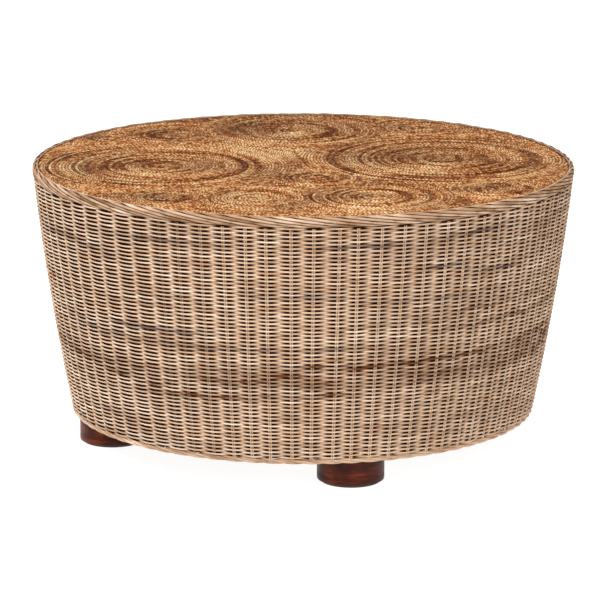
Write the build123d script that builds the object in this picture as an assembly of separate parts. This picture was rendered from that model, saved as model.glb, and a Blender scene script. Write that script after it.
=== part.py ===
from build123d import *

import os
from math import asin, atan2, cos, hypot

# Round wicker coffee table in millimetres. +Z is up and the origin is on the floor, under the centre.
# The feet stand on the X and Y axes, and -Y is the front.

# Overall size
WIDTH = 820.4  # across the woven rim
HEIGHT = 419.1
BASE_WIDTH = 705.0  # across the woven side at its lower edge
SIDE_FOOT = 40.0  # height of the lower edge of the woven side
SHOULDER = HEIGHT - 8.0  # height of the widest ring
BULGE = 4.5  # how far the side bows out of a straight cone at mid-height
GAP = 0.2  # hairline between curved neighbours

# Woven side
WEAVE_THICKNESS = 5.0
STAKE_DIAMETER = 2.4
STAKE_PAIRS = 76
STAKE_START = -2.1  # azimuth of the first pair
SKIN_DEPTH = 7.6  # weave and stakes together
TOP_BORDER_HEIGHT = 15.0
TOP_BORDER_WIDTH = 8.0
TOP_WALE_HEIGHT = 7.0
BOTTOM_BORDER_HEIGHT = 8.5
BORDER_CHAMFER = 2.0  # taken off the corners of its section

# Rope top on its plywood panel
ROPE = 5.0
ROPE_TOP = HEIGHT - 1.5
MAT_RADIUS = WIDTH / 2 - TOP_BORDER_WIDTH - 2 * GAP
PANEL_THICKNESS = 12.0
PANEL_RADIUS = MAT_RADIUS - 0.8

# Each coil of rope: name, centre x, centre y, turns
COILS = [
    ("coil_left", -213.0, 23.0, 36),
    ("coil_right", 218.0, -14.0, 36),
    ("coil_back", 49.0, 261.0, 24),
    ("coil_back_right", 246.0, 238.0, 11),
    ("coil_back_left", -141.0, 266.0, 13),
    ("coil_far_left", -252.0, 264.0, 7),
    ("coil_middle", -7.0, -114.0, 10),
    ("coil_front", 42.0, -268.0, 20),
    ("coil_front_left", -251.0, -204.0, 10),
    ("coil_front_middle", -129.0, -241.0, 14),
    ("coil_front_right", 229.0, -254.0, 11),
]

# Cane pole frame
HOOP_DIAMETER = 20.0
MIDDLE_HOOP_DIAMETER = 12.0
MIDDLE_HOOP_HEIGHT = 228.0
RING_JOINT = 11.0  # azimuth where the two ends of a bent pole or a border meet
RING_ARC = 359.95
UPRIGHT_DIAMETER = 18.0
UPRIGHTS = 8
TOP_RAIL = (45.0, 22.0)  # width, thickness
BOTTOM_RAIL = (70.0, 25.0)

# Feet
FOOT_CIRCLE = 297.0  # radius of the circle that the feet stand on
FOOT_RADIUS = 49.7
FOOT_TOP = SIDE_FOOT - GAP
FOOT_EDGE = 2.5  # rounding of the lower edge
GLIDE_RADIUS = 44.0
GLIDE_THICKNESS = 3.0
BLOCK_SIDE = 84.0
BLOCK_THICKNESS = 12.0
BLOCK_CORNER = 6.0
EDGE_CHAMFER = 0.5
QUARTERS = 4  # feet, and ends of the crossed rails

# Fasteners: shank radius, head radius, head height, length
BLOCK_SCREW = (2.0, 4.0, 2.6, 32.0)
PANEL_SCREW = (2.0, 4.0, 2.6, 30.0)
RAIL_END_SCREW = (2.0, 4.0, 2.6, 42.0)
UPRIGHT_SCREW = (2.0, 4.0, 2.6, 45.0)
HOOP_SCREW = (1.5, 3.0, 1.8, 19.0)
GLIDE_SCREW = (1.75, 3.5, 1.8, 9.0)
FIT = 0.05  # radial clearance of a fastener in its hole
HEAD_SINK = 1.5  # depth of a head below the pole's surface
GLIDE_HEAD_SINK = 0.6
BLOCK_SCREW_INSET = 16.0  # from the sides of the block
PANEL_SCREW_REACHES = (110.0, 290.0)  # distances from the table's axis
BOLT_RADIUS = 4.0
BOLT_SPAN = (12.0, 66.0)  # heights of the bolt's two ends
TEE_BARREL_RADIUS = 5.0
TEE_FLANGE = (10.0, 1.5)  # radius, thickness
TEE_RECESS = 1.0  # of the barrel's open end above the block's underside
BOLT_HEADROOM = 1.0  # left above the bolt in the rail
DOWEL_RADIUS = 4.0
BRADS = 24
BRAD_RADIUS = 0.7
BRAD_LENGTH = 17.0
BRAD_START = 180 / BRADS  # azimuth of the first brad
BRAD_HEIGHT = 409.0
BRAD_SINK = 1.5  # depth of its head below the border's surface

# Heights that follow from the sizes above
BLOCK_TOP = SIDE_FOOT + BLOCK_THICKNESS
BOTTOM_HOOP_HEIGHT = BLOCK_TOP + BOTTOM_RAIL[1] / 2
PANEL_TOP = ROPE_TOP - ROPE
PANEL_BOTTOM = PANEL_TOP - PANEL_THICKNESS
TOP_RAIL_BOTTOM = PANEL_BOTTOM - TOP_RAIL[1]
TOP_HOOP_HEIGHT = PANEL_BOTTOM - HOOP_DIAMETER / 2 - GAP
TOP_BORDER_BOTTOM = HEIGHT - TOP_BORDER_HEIGHT
WEAVE_TOP = TOP_BORDER_BOTTOM - TOP_WALE_HEIGHT
WEAVE_BOTTOM = SIDE_FOOT + BOTTOM_BORDER_HEIGHT

UPWARD = (0, 0, 1)
STANDING = (Align.CENTER, Align.CENTER, Align.MIN)
FRONT = -90.0  # azimuth of the front
FOOT_NAMES = ("front", "right", "back", "left")


def side_radius(z):
    """Outer radius of the woven side at height z."""
    t = (z - SIDE_FOOT) / (SHOULDER - SIDE_FOOT)
    return (BASE_WIDTH + (WIDTH - BASE_WIDTH) * t) / 2 + 4 * BULGE * t * (1 - t)


def side_tilt():
    """Mean slope of the side from the vertical, in radians."""
    return asin((WIDTH - BASE_WIDTH) / 2 / hypot(SHOULDER - SIDE_FOOT, (WIDTH - BASE_WIDTH) / 2))


def hoop_radius(z, diameter):
    """Radius of the hoop's centre line where it lies against the inside of the skin."""
    return side_radius(z) - SKIN_DEPTH - GAP - (diameter / 2 + GAP) / cos(side_tilt())


TOP_HOOP_RADIUS = hoop_radius(TOP_HOOP_HEIGHT, HOOP_DIAMETER)
BOTTOM_HOOP_RADIUS = hoop_radius(BOTTOM_HOOP_HEIGHT, HOOP_DIAMETER)
UPRIGHT_FOOT = Vector(BOTTOM_HOOP_RADIUS, 0, BOTTOM_HOOP_HEIGHT)
UPRIGHT_HEAD = Vector(TOP_HOOP_RADIUS, 0, TOP_HOOP_HEIGHT)
UPRIGHT_RUN = UPRIGHT_HEAD - UPRIGHT_FOOT
UPRIGHT_TILT = atan2(UPRIGHT_RUN.X, UPRIGHT_RUN.Z)


def upright_radius(z):
    """Distance of an upright's centre line from the table's axis at height z."""
    share = (z - UPRIGHT_FOOT.Z) / UPRIGHT_RUN.Z
    return UPRIGHT_FOOT.X + UPRIGHT_RUN.X * share


MIDDLE_HOOP_RADIUS = (
    upright_radius(MIDDLE_HOOP_HEIGHT)
    - (UPRIGHT_DIAMETER + MIDDLE_HOOP_DIAMETER) / 2 / cos(UPRIGHT_TILT)
    - GAP
)


def around(shape, count, start=0.0):
    """Copies of a shape, evenly spaced round the table's axis."""
    return [Rot(0, 0, start + 360 / count * i) * shape for i in range(count)]


def pin(start, direction, radius, length):
    """A plain cylinder that starts at a point and runs along a direction."""
    return Plane(origin=start, z_dir=direction) * Cylinder(radius, length, align=STANDING)


def screw(start, direction, size):
    """A countersunk screw whose head's flat face is at start."""
    shank, head, head_height, length = size
    frame = Plane(origin=start, z_dir=direction)
    body = Cylinder(shank, length, align=STANDING)
    return frame * (body + Cone(head, shank, head_height, align=STANDING))


def screw_hole(start, direction, size, lead=0.0):
    """The hole that a screw fills, opened out by lead beyond its head."""
    shank, head, head_height, length = size
    hole = screw(start, direction, (shank + FIT, head + FIT, head_height + FIT, length + FIT))
    if lead > 0:
        back = Vector(*start) - Vector(*direction).normalized() * lead
        hole += pin(back, direction, head + FIT, lead)
    return hole


def side_band(z_low, z_high, depth, thickness):
    """A closed band that follows the side's curve, from depth inside it to depth + thickness."""
    heights = (z_low, (z_low + z_high) / 2, z_high)
    outer = [(side_radius(z) - depth, z) for z in heights]
    inner = [(radius - thickness, z) for radius, z in outer]
    edges = [
        ThreePointArc(*outer),
        Line(outer[2], inner[2]),
        ThreePointArc(*reversed(inner)),
        Line(inner[0], outer[0]),
    ]
    return revolve(Plane.XZ * make_face(edges), Axis.Z)


def ring(section):
    """A section in the XZ plane taken round the table's axis, with its two ends butted."""
    return Rot(0, 0, RING_JOINT) * revolve(Plane.XZ * section, Axis.Z, revolution_arc=RING_ARC)


def border(radius_out, width, z_low, height):
    """A ring of chamfered section, for a plaited border."""
    section = chamfer(Rectangle(width, height).vertices(), BORDER_CHAMFER)
    return ring(Pos(radius_out - width / 2, z_low + height / 2) * section)


def hoop(radius, diameter, z):
    """A pole bent to a ring."""
    return ring(Pos(radius, z) * Circle(diameter / 2))


def cope(radius, diameter, z):
    """The room that a hoop needs in the end of a pole."""
    return Pos(0, 0, z) * Torus(radius, diameter / 2 + GAP)


def stakes():
    """Pairs of canes that stand against the inside of the weave, bent to its curve."""
    depth = WEAVE_THICKNESS + GAP / 2 + STAKE_DIAMETER / 2
    low, high = WEAVE_BOTTOM + GAP * 2, WEAVE_TOP - GAP * 2
    heights = (low, (low + high) / 2, high)
    line = Plane.XZ * ThreePointArc(*[(side_radius(z) - depth, z) for z in heights])
    section = Plane(origin=line @ 0, z_dir=line % 0) * Circle(STAKE_DIAMETER / 2)
    cane = sweep(section, path=line)
    shift = (STAKE_DIAMETER + GAP) / 2
    pair = [Pos(0, shift, 0) * cane, Pos(0, -shift, 0) * cane]
    return [copy for single in pair for copy in around(single, STAKE_PAIRS, STAKE_START)]


def upright_screws():
    """The two screws of an upright, driven along it through the bottom and the top hoop."""
    along = UPRIGHT_RUN.normalized()
    reach = HOOP_DIAMETER / 2 - HEAD_SINK
    return [(UPRIGHT_FOOT - along * reach, along), (UPRIGHT_HEAD + along * reach, along * -1)]


def middle_screw():
    """The screw of an upright that holds the middle hoop, driven outwards."""
    start = Vector(MIDDLE_HOOP_RADIUS - MIDDLE_HOOP_DIAMETER / 2 + HEAD_SINK / 2, 0, MIDDLE_HOOP_HEIGHT)
    return start, Vector(1, 0, 0)


def upright():
    """One slanting pole, coped to the hoops at both ends."""
    pole = pin(UPRIGHT_FOOT, UPRIGHT_RUN, UPRIGHT_DIAMETER / 2, UPRIGHT_RUN.length)
    pole -= cope(BOTTOM_HOOP_RADIUS, HOOP_DIAMETER, BOTTOM_HOOP_HEIGHT)
    pole -= cope(TOP_HOOP_RADIUS, HOOP_DIAMETER, TOP_HOOP_HEIGHT)
    holes = [screw_hole(start, along, UPRIGHT_SCREW) for start, along in upright_screws()]
    holes.append(screw_hole(*middle_screw(), HOOP_SCREW))
    return pole - holes


def rail_end_screws(hoop_centre, z):
    """Start and direction of the screw that joins a hoop to the rail's end on +X."""
    return Vector(hoop_centre + HOOP_DIAMETER / 2 - HEAD_SINK, 0, z), Vector(-1, 0, 0)


def end_hoop(radius, z, upright_end):
    """The top or the bottom hoop, drilled for the rails and the uprights."""
    pole = hoop(radius, HOOP_DIAMETER, z)
    rail_hole = screw_hole(*rail_end_screws(radius, z), RAIL_END_SCREW, HEAD_SINK)
    pole_hole = screw_hole(*upright_screws()[upright_end], UPRIGHT_SCREW, HEAD_SINK)
    return pole - around(rail_hole, QUARTERS) - around(pole_hole, UPRIGHTS, 180 / UPRIGHTS)


def middle_hoop():
    pole = hoop(MIDDLE_HOOP_RADIUS, MIDDLE_HOOP_DIAMETER, MIDDLE_HOOP_HEIGHT)
    hole = screw_hole(*middle_screw(), HOOP_SCREW, HEAD_SINK)
    return pole - around(hole, UPRIGHTS, 180 / UPRIGHTS)


def cross_rail(size, z_low, reach, notch_on_top):
    """One rail of a half-lapped cross, along X, with ends rounded to the hoop's inside."""
    width, thickness = size
    rail = Box(2 * reach, width, thickness, align=STANDING) & Cylinder(reach, thickness, align=STANDING)
    notch = Box(width + GAP, width + GAP, thickness / 2, align=STANDING)
    if notch_on_top:
        notch = Pos(0, 0, thickness / 2) * notch
    dowel_hole = Cylinder(DOWEL_RADIUS + FIT, thickness, align=STANDING)
    return Pos(0, 0, z_low) * (rail - notch - dowel_hole)


def block_screw_places():
    """Where the four screws of the foot block on +X start."""
    reach = BLOCK_SIDE / 2 - BLOCK_SCREW_INSET
    return [
        Vector(FOOT_CIRCLE + along * reach, across * reach, SIDE_FOOT)
        for along in (-1, 1)
        for across in (-1, 1)
    ]


def panel_screw_places():
    """Where the two panel screws in the rail's half on +X start."""
    return [Vector(radius, 0, TOP_RAIL_BOTTOM) for radius in PANEL_SCREW_REACHES]


def at_both_ends(shapes):
    """Shapes on +X and their copies on -X."""
    return [copy for shape in shapes for copy in around(shape, 2)]


def bottom_rail(notch_on_top):
    reach = BOTTOM_HOOP_RADIUS - HOOP_DIAMETER / 2 - GAP
    rail = cross_rail(BOTTOM_RAIL, BLOCK_TOP, reach, notch_on_top)
    end_hole = screw_hole(*rail_end_screws(BOTTOM_HOOP_RADIUS, BOTTOM_HOOP_HEIGHT), RAIL_END_SCREW)
    bolt_depth = BOLT_SPAN[1] - BLOCK_TOP + BOLT_HEADROOM
    bolt_room = pin((FOOT_CIRCLE, 0, BLOCK_TOP), UPWARD, TEE_BARREL_RADIUS + FIT, bolt_depth)
    holes = [screw_hole(place, UPWARD, BLOCK_SCREW) for place in block_screw_places()]
    return rail - at_both_ends([end_hole, bolt_room, *holes])


def top_rail(notch_on_top):
    reach = TOP_HOOP_RADIUS - HOOP_DIAMETER / 2 - GAP
    rail = cross_rail(TOP_RAIL, TOP_RAIL_BOTTOM, reach, notch_on_top)
    end_hole = screw_hole(*rail_end_screws(TOP_HOOP_RADIUS, TOP_HOOP_HEIGHT), RAIL_END_SCREW)
    holes = [screw_hole(place, UPWARD, PANEL_SCREW) for place in panel_screw_places()]
    return rail - at_both_ends([end_hole, *holes])


def foot_block():
    """The block on +X that carries a foot under the bottom rail."""
    plate = Box(BLOCK_SIDE, BLOCK_SIDE, BLOCK_THICKNESS, align=STANDING)
    plate = fillet(plate.edges().filter_by(Axis.Z), BLOCK_CORNER)
    plate = Pos(FOOT_CIRCLE, 0, SIDE_FOOT) * plate
    flange_radius, flange_thickness = TEE_FLANGE
    flange_place = (FOOT_CIRCLE, 0, BLOCK_TOP - flange_thickness)
    nut_room = pin((FOOT_CIRCLE, 0, SIDE_FOOT), UPWARD, TEE_BARREL_RADIUS + FIT, BLOCK_THICKNESS)
    flange_room = pin(flange_place, UPWARD, flange_radius + FIT, flange_thickness)
    holes = [screw_hole(place, UPWARD, BLOCK_SCREW) for place in block_screw_places()]
    return plate - nut_room - flange_room - holes


def tee_nut():
    flange_radius, flange_thickness = TEE_FLANGE
    barrel_place = (FOOT_CIRCLE, 0, SIDE_FOOT + TEE_RECESS)
    barrel = pin(barrel_place, UPWARD, TEE_BARREL_RADIUS, BLOCK_THICKNESS - TEE_RECESS)
    flange = pin((FOOT_CIRCLE, 0, BLOCK_TOP - flange_thickness), UPWARD, flange_radius, flange_thickness)
    thread = pin((FOOT_CIRCLE, 0, SIDE_FOOT), UPWARD, BOLT_RADIUS + FIT, BLOCK_THICKNESS)
    return barrel + flange - thread


def hanger_bolt():
    low, high = BOLT_SPAN
    bolt = pin((FOOT_CIRCLE, 0, low), UPWARD, BOLT_RADIUS, high - low)
    return chamfer(bolt.edges().filter_by(GeomType.CIRCLE), EDGE_CHAMFER)


def glide_screw_place():
    return Vector(FOOT_CIRCLE, 0, GLIDE_HEAD_SINK)


def foot():
    """A turned round foot on +X, drilled for its bolt and its glide's screw."""
    low = GLIDE_THICKNESS
    body = pin((FOOT_CIRCLE, 0, low), UPWARD, FOOT_RADIUS, FOOT_TOP - low)
    body = fillet(body.edges().filter_by(GeomType.CIRCLE).sort_by(Axis.Z)[0], FOOT_EDGE)
    bolt_hole = pin((FOOT_CIRCLE, 0, BOLT_SPAN[0] - FIT), UPWARD, BOLT_RADIUS + FIT, FOOT_TOP)
    return body - bolt_hole - screw_hole(glide_screw_place(), UPWARD, GLIDE_SCREW)


def glide():
    """The thin pad under the foot on +X, which the table rests on."""
    pad = pin((FOOT_CIRCLE, 0, 0), UPWARD, GLIDE_RADIUS, GLIDE_THICKNESS)
    pad = chamfer(pad.edges().filter_by(GeomType.CIRCLE).sort_by(Axis.Z)[0], EDGE_CHAMFER)
    return pad - screw_hole(glide_screw_place(), UPWARD, GLIDE_SCREW, GLIDE_HEAD_SINK)


def brad(clearance=0.0):
    """A pin on +X that nails the top border to the edge of the panel."""
    start = (WIDTH / 2 - BRAD_SINK + clearance, 0, BRAD_HEIGHT)
    return pin(start, (-1, 0, 0), BRAD_RADIUS + clearance, BRAD_LENGTH + 2 * clearance)


def panel():
    disc = pin((0, 0, PANEL_BOTTOM), UPWARD, PANEL_RADIUS, PANEL_THICKNESS)
    holes = [screw_hole(place, UPWARD, PANEL_SCREW) for place in panel_screw_places()]
    return disc - [h for hole in holes for h in around(hole, QUARTERS)] - around(brad(FIT), BRADS, BRAD_START)


def coil(x, y, turns, clearance=0.0):
    """The disc that one coil of rope fills."""
    return pin((x, y, PANEL_TOP), UPWARD, turns * ROPE + clearance, ROPE)


def infill():
    """The rope between the coils, out to the border."""
    sheet = pin((0, 0, PANEL_TOP), UPWARD, MAT_RADIUS, ROPE)
    return sheet - [coil(x, y, turns, GAP) for _, x, y, turns in COILS]


def top_border():
    edge = border(WIDTH / 2, TOP_BORDER_WIDTH, TOP_BORDER_BOTTOM, TOP_BORDER_HEIGHT)
    return edge - around(brad(FIT), BRADS, BRAD_START)


def structure():
    """The frame: panel, rails, hoops and uprights."""
    parts = {
        "top_panel": panel(),
        "top_rail_x": top_rail(True),
        "top_rail_y": Rot(0, 0, 90) * top_rail(False),
        "bottom_rail_x": bottom_rail(True),
        "bottom_rail_y": Rot(0, 0, 90) * bottom_rail(False),
        "top_hoop": end_hoop(TOP_HOOP_RADIUS, TOP_HOOP_HEIGHT, 1),
        "middle_hoop": middle_hoop(),
        "bottom_hoop": end_hoop(BOTTOM_HOOP_RADIUS, BOTTOM_HOOP_HEIGHT, 0),
    }
    for number, pole in enumerate(around(upright(), UPRIGHTS, 180 / UPRIGHTS), start=1):
        parts[f"upright_{number}"] = pole
    return parts


def feet():
    """Blocks, feet and glides, one of each at every foot."""
    parts = {}
    for kind, shape in (("foot_block", foot_block()), ("foot", foot()), ("glide", glide())):
        for side, copy in zip(FOOT_NAMES, around(shape, QUARTERS, FRONT)):
            parts[f"{kind}_{side}"] = copy
    return parts


def fasteners():
    """Groups of identical screws, bolts, nuts, dowels and brads."""
    rail_ends = [
        screw(*rail_end_screws(TOP_HOOP_RADIUS, TOP_HOOP_HEIGHT), RAIL_END_SCREW),
        screw(*rail_end_screws(BOTTOM_HOOP_RADIUS, BOTTOM_HOOP_HEIGHT), RAIL_END_SCREW),
    ]
    poles = [screw(start, along, UPRIGHT_SCREW) for start, along in upright_screws()]
    blocks = [screw(place, UPWARD, BLOCK_SCREW) for place in block_screw_places()]
    panels = [screw(place, UPWARD, PANEL_SCREW) for place in panel_screw_places()]
    half = 180 / UPRIGHTS
    return {
        "hanger_bolts": around(hanger_bolt(), QUARTERS),
        "tee_nuts": around(tee_nut(), QUARTERS),
        "block_screws": [copy for single in blocks for copy in around(single, QUARTERS)],
        "glide_screws": around(screw(glide_screw_place(), UPWARD, GLIDE_SCREW), QUARTERS),
        "panel_screws": [copy for single in panels for copy in around(single, QUARTERS)],
        "rail_end_screws": [copy for single in rail_ends for copy in around(single, QUARTERS)],
        "upright_screws": [copy for single in poles for copy in around(single, UPRIGHTS, half)],
        "middle_hoop_screws": around(screw(*middle_screw(), HOOP_SCREW), UPRIGHTS, half),
        "lap_dowels": [
            pin((0, 0, BLOCK_TOP), UPWARD, DOWEL_RADIUS, BOTTOM_RAIL[1]),
            pin((0, 0, TOP_RAIL_BOTTOM), UPWARD, DOWEL_RADIUS, TOP_RAIL[1]),
        ],
        "border_brads": around(brad(), BRADS, BRAD_START),
    }


def wicker():
    """The woven side with its stakes and borders."""
    base_radius = side_radius(SIDE_FOOT + BOTTOM_BORDER_HEIGHT / 2)
    return {
        "side_weave": side_band(WEAVE_BOTTOM, WEAVE_TOP, 0, WEAVE_THICKNESS),
        "side_stakes": stakes(),
        "top_wale": side_band(WEAVE_TOP, TOP_BORDER_BOTTOM, 0, SKIN_DEPTH),
        "top_border": top_border(),
        "bottom_border": border(base_radius, TOP_BORDER_WIDTH, SIDE_FOOT, BOTTOM_BORDER_HEIGHT),
    }


def rope_top():
    """The coils of rope and the rope between them."""
    parts = {name: coil(x, y, turns) for name, x, y, turns in COILS}
    parts["infill_rope"] = infill()
    return parts


def main():
    os.makedirs("parts", exist_ok=True)
    for group in (structure(), feet(), fasteners(), wicker(), rope_top()):
        for name, shape in group.items():
            solid = Compound(children=shape) if isinstance(shape, list) else shape
            export_step(solid, f"parts/{name}.step")


main()
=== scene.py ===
from math import cos, pi, radians, sin

import bpy
import numpy as np
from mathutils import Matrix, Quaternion, Vector


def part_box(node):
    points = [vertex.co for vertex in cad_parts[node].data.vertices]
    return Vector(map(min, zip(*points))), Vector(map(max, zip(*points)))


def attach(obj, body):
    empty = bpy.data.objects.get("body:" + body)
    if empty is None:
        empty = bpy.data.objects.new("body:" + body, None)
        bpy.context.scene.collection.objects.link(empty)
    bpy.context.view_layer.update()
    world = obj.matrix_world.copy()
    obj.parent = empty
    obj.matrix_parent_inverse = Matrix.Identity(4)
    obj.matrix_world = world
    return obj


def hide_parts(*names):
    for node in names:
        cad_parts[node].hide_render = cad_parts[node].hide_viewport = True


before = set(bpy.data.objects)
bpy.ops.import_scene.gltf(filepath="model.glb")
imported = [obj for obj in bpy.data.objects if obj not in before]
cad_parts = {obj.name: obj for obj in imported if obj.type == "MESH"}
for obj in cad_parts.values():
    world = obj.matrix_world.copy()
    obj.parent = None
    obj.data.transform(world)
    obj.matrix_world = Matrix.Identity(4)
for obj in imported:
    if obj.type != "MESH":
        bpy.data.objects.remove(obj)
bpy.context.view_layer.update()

# Lengths are in metres, unless a comment says mm. Round the side, u is an angle in turns and v is a
# share of the height.
MM = 0.001
TAU = 2 * pi

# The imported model's own measures
BASE_LOW, BASE_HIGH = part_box("bottom_border")
WEAVE_LOW, WEAVE_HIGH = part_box("side_weave")
RIM_LOW, RIM_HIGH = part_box("top_border")
MAT_LOW, MAT_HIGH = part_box("infill_rope")
HEIGHT = RIM_HIGH.z
SIDE_FOOT = BASE_LOW.z
SHOULDER = HEIGHT - 8 * MM  # height of the widest ring
RIM_RADIUS = RIM_HIGH.x
FOOT_LINE_RADIUS = 352.5 * MM  # of the woven side at its lower edge
BULGE = 4.5 * MM

# Woven side
ROWS = 119
ROWS_PER_PIECE = 20
TOP_ROWS = 2  # more rows, just under the rim
STAKES = 76
STEPS = 8  # rings of a weaver between two stakes
WEAVER_OUT = 1.28 * MM  # half the thickness of a weaver
WEAVER_UP = 1.62 * MM  # half its height between two stakes
WEAVER_TIGHT = 0.30 * MM  # less where it passes in front of a stake
WEAVER_LOOSE = 0.90 * MM  # more where it passes behind one
WEAVE_DEPTH = 4.3 * MM  # of the middle surface below the outside
SWING = 3.0 * MM  # of a weaver in front of and behind the stakes
STAKE = 1.16 * MM  # radius
STAKE_SHIFT = 1.38 * MM  # of each cane in a pair to its side
STAKE_OUT = 1.3 * MM  # of the stakes in front of the weave's middle surface
STAKE_START = -2.1 / 360 * STAKES  # place of the first stake, in stake spacings
STAKE_JITTER = 0.075  # of each stake from its even place, in stake spacings
STAKE_LEAN = 0.07  # of each stake over the height, in stake spacings
STAKE_SINK = 1.2 * MM  # of the stakes where the weave is loose
STAKE_RANDOM = np.random.default_rng(21).uniform(-1, 1, (2, STAKES))
SLACK_MIDDLE = -166 / 360  # where the weave is loosest, in turns
CANE_SIDES = 8  # sides of every cane's section

# Rim: a flat cane that winds round and round a rounded oblong
BORDER_LAPS = 7  # laps round the table before it meets itself, with no factor shared with the stakes
BORDER_STEPS = 6  # rings of a cane between two stakes, here and at the lower edge
BORDER_DROP = 0.6 * MM  # of the oblong's middle below the middle of the rim
BORDER_OUT = 2.5 * MM  # half the oblong's width, to the middle of the cane
BORDER_UP = 6.3 * MM  # half the oblong's height, to the middle of the cane
BORDER_POWER = 3.0  # of the oblong, where 2 is an ellipse
BORDER_THICK = 1.45 * MM  # half the thickness of the cane
BORDER_WIDE = 1.95 * MM  # half the width of the cane

# Lower edge: a twist of round canes
BASE_CANES = 3
BASE_CANE = 2.1 * MM  # radius
BASE_OUT = 1.9 * MM  # half the twist's width, to the middles of the canes
BASE_UP = 2.2 * MM  # half its height
BASE_INSET = 4.0 * MM  # of its middle from the edge's outside
BASE_ROW = 67  # seed, and the place of its colours in the table of rows

# Rope
ROPE = 5.0 * MM  # pitch and height
LAY = 12.0 * MM  # length of one full twist
ROPE_STEP = 1.9 * MM  # between two rings of a rope
ROPE_SIDES = 8
GRID_STEP = 2.0 * MM  # of the grid on which the rope between the coils is laid out
BLEND = 3.0 * MM  # how softly the rope turns where two coils meet
COILS = [name for name in sorted(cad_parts) if name.startswith("coil_")]

# Camera, with its angles in degrees
CAMERA_AZIMUTH = -13.8
CAMERA_ELEVATION = 13.1
CAMERA_ROLL = 0.2
CAMERA_DISTANCE = 6.0
CAMERA_AIM = 0.210  # height that it looks at
CAMERA_LENS = 235.6  # mm
CAMERA_SHIFT = (-0.0049, -0.0071)


def srgb(red, green, blue):
    """A display colour, 0 to 255, as a linear one with alpha."""
    def linear(value):
        share = value / 255
        return share / 12.92 if share <= 0.04045 else ((share + 0.055) / 1.055) ** 2.4
    return (linear(red), linear(green), linear(blue), 1.0)


def side_radius(z):
    """Outer radius of the woven side at height z."""
    t = (z - SIDE_FOOT) / (SHOULDER - SIDE_FOOT)
    return FOOT_LINE_RADIUS + (RIM_RADIUS - FOOT_LINE_RADIUS) * t + 4 * BULGE * t * (1 - t)


def ease(share):
    """A share of 0..1 that starts and ends softly."""
    return share * share * (3 - 2 * share)


def drift(u, v, seed, columns, rows):
    """Smooth seeded noise from -1 to 1 that closes round u = 0..1, with v = 0..1 across."""
    lattice = np.random.default_rng(seed).uniform(-1, 1, (rows + 2, columns))
    x = np.mod(u, 1) * columns
    y = np.clip(v, 0, 1) * rows
    column = np.floor(x).astype(int)
    row = np.floor(y).astype(int)
    fx, fy = ease(x - column), ease(y - row)
    column %= columns
    after = (column + 1) % columns
    low = lattice[row, column] * (1 - fx) + lattice[row, after] * fx
    high = lattice[row + 1, column] * (1 - fx) + lattice[row + 1, after] * fx
    return low * (1 - fy) + high * fy


def unit(vectors):
    """Vectors scaled to length 1."""
    return vectors / np.linalg.norm(vectors, axis=-1, keepdims=True)


class Strands:
    """Swept strands that become one mesh, with what the materials read stored on its points."""

    def __init__(self):
        self.points, self.quads, self.caps = [], [], []
        self.marks, self.tints, self.depths = [], [], []
        self.count = 0

    def add(self, rings, mark, tint, closed, depth=0.0):
        """Adds one strand: rings of points, and for each point a mark (along, around, strand), a tint
        (brown, grey, lightness) and how far it dips behind its neighbours, from 0 to 1, which the
        materials turn into painted shade."""
        steps, sides = rings.shape[:2]
        index = np.arange(steps * sides).reshape(steps, sides) + self.count
        here = index if closed else index[:-1]
        there = np.roll(index, -1, 0) if closed else index[1:]
        quads = np.stack([here, np.roll(here, -1, 1), np.roll(there, -1, 1), there], -1)
        self.quads.append(quads.reshape(-1, 4))
        if not closed:
            self.caps += [index[0][::-1], index[-1]]
        self.points.append(rings.reshape(-1, 3))
        self.marks.append(np.broadcast_to(mark, rings.shape).reshape(-1, 3))
        self.tints.append(np.broadcast_to(tint, rings.shape).reshape(-1, 3))
        self.depths.append(np.broadcast_to(depth, (steps, sides)).ravel())
        self.count += steps * sides

    def build(self, name, material, slot, replaced):
        """Makes the object, and hides the CAD nodes that it stands for."""
        quads = np.concatenate(self.quads)
        corners = np.concatenate([quads.ravel(), *self.caps]).astype(np.int32)
        totals = np.concatenate([np.full(len(quads), 4), [len(c) for c in self.caps]]).astype(np.int32)
        mesh = bpy.data.meshes.new(name)
        mesh.vertices.add(self.count)
        mesh.vertices.foreach_set("co", np.concatenate(self.points).astype(np.float32).ravel())
        mesh.loops.add(len(corners))
        mesh.loops.foreach_set("vertex_index", corners)
        mesh.polygons.add(len(totals))
        mesh.polygons.foreach_set("loop_start", (np.cumsum(totals) - totals).astype(np.int32))
        mesh.polygons.foreach_set("loop_total", totals)
        mesh.polygons.foreach_set("use_smooth", np.ones(len(totals), bool))
        mesh.update(calc_edges=True)
        for label, values in (("strand", self.marks), ("tint", self.tints)):
            attribute = mesh.attributes.new(label, "FLOAT_VECTOR", "POINT")
            attribute.data.foreach_set("vector", np.concatenate(values).astype(np.float32).ravel())
        attribute = mesh.attributes.new("depth", "FLOAT", "POINT")
        attribute.data.foreach_set("value", np.concatenate(self.depths).astype(np.float32))
        place(bpy.data.objects.new(name, mesh), material, replaced)


def place(piece, material, replaced):
    """Puts a piece in the scene, on the table's one body."""
    bpy.context.scene.collection.objects.link(piece)
    piece.data.materials.append(material)
    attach(piece, "root")
    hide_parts(*replaced)


def swept(path, outward, half_out, half_across, sides, closed):
    """Rings round a path. Side 0 faces against outward; the halves are the section's radii."""
    if closed:
        ahead = np.roll(path, -1, 0) - np.roll(path, 1, 0)
    else:
        ahead = np.gradient(path, axis=0)
    ahead = unit(ahead)
    out = unit(outward - ahead * np.sum(outward * ahead, -1, keepdims=True))
    across = np.cross(ahead, out)
    angle = np.arange(sides) / sides * TAU + pi
    lift = half_out * np.cos(angle)
    slide = half_across * np.sin(angle)
    return path[:, None] + out[:, None] * lift[..., None] + across[:, None] * slide[..., None]


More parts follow.
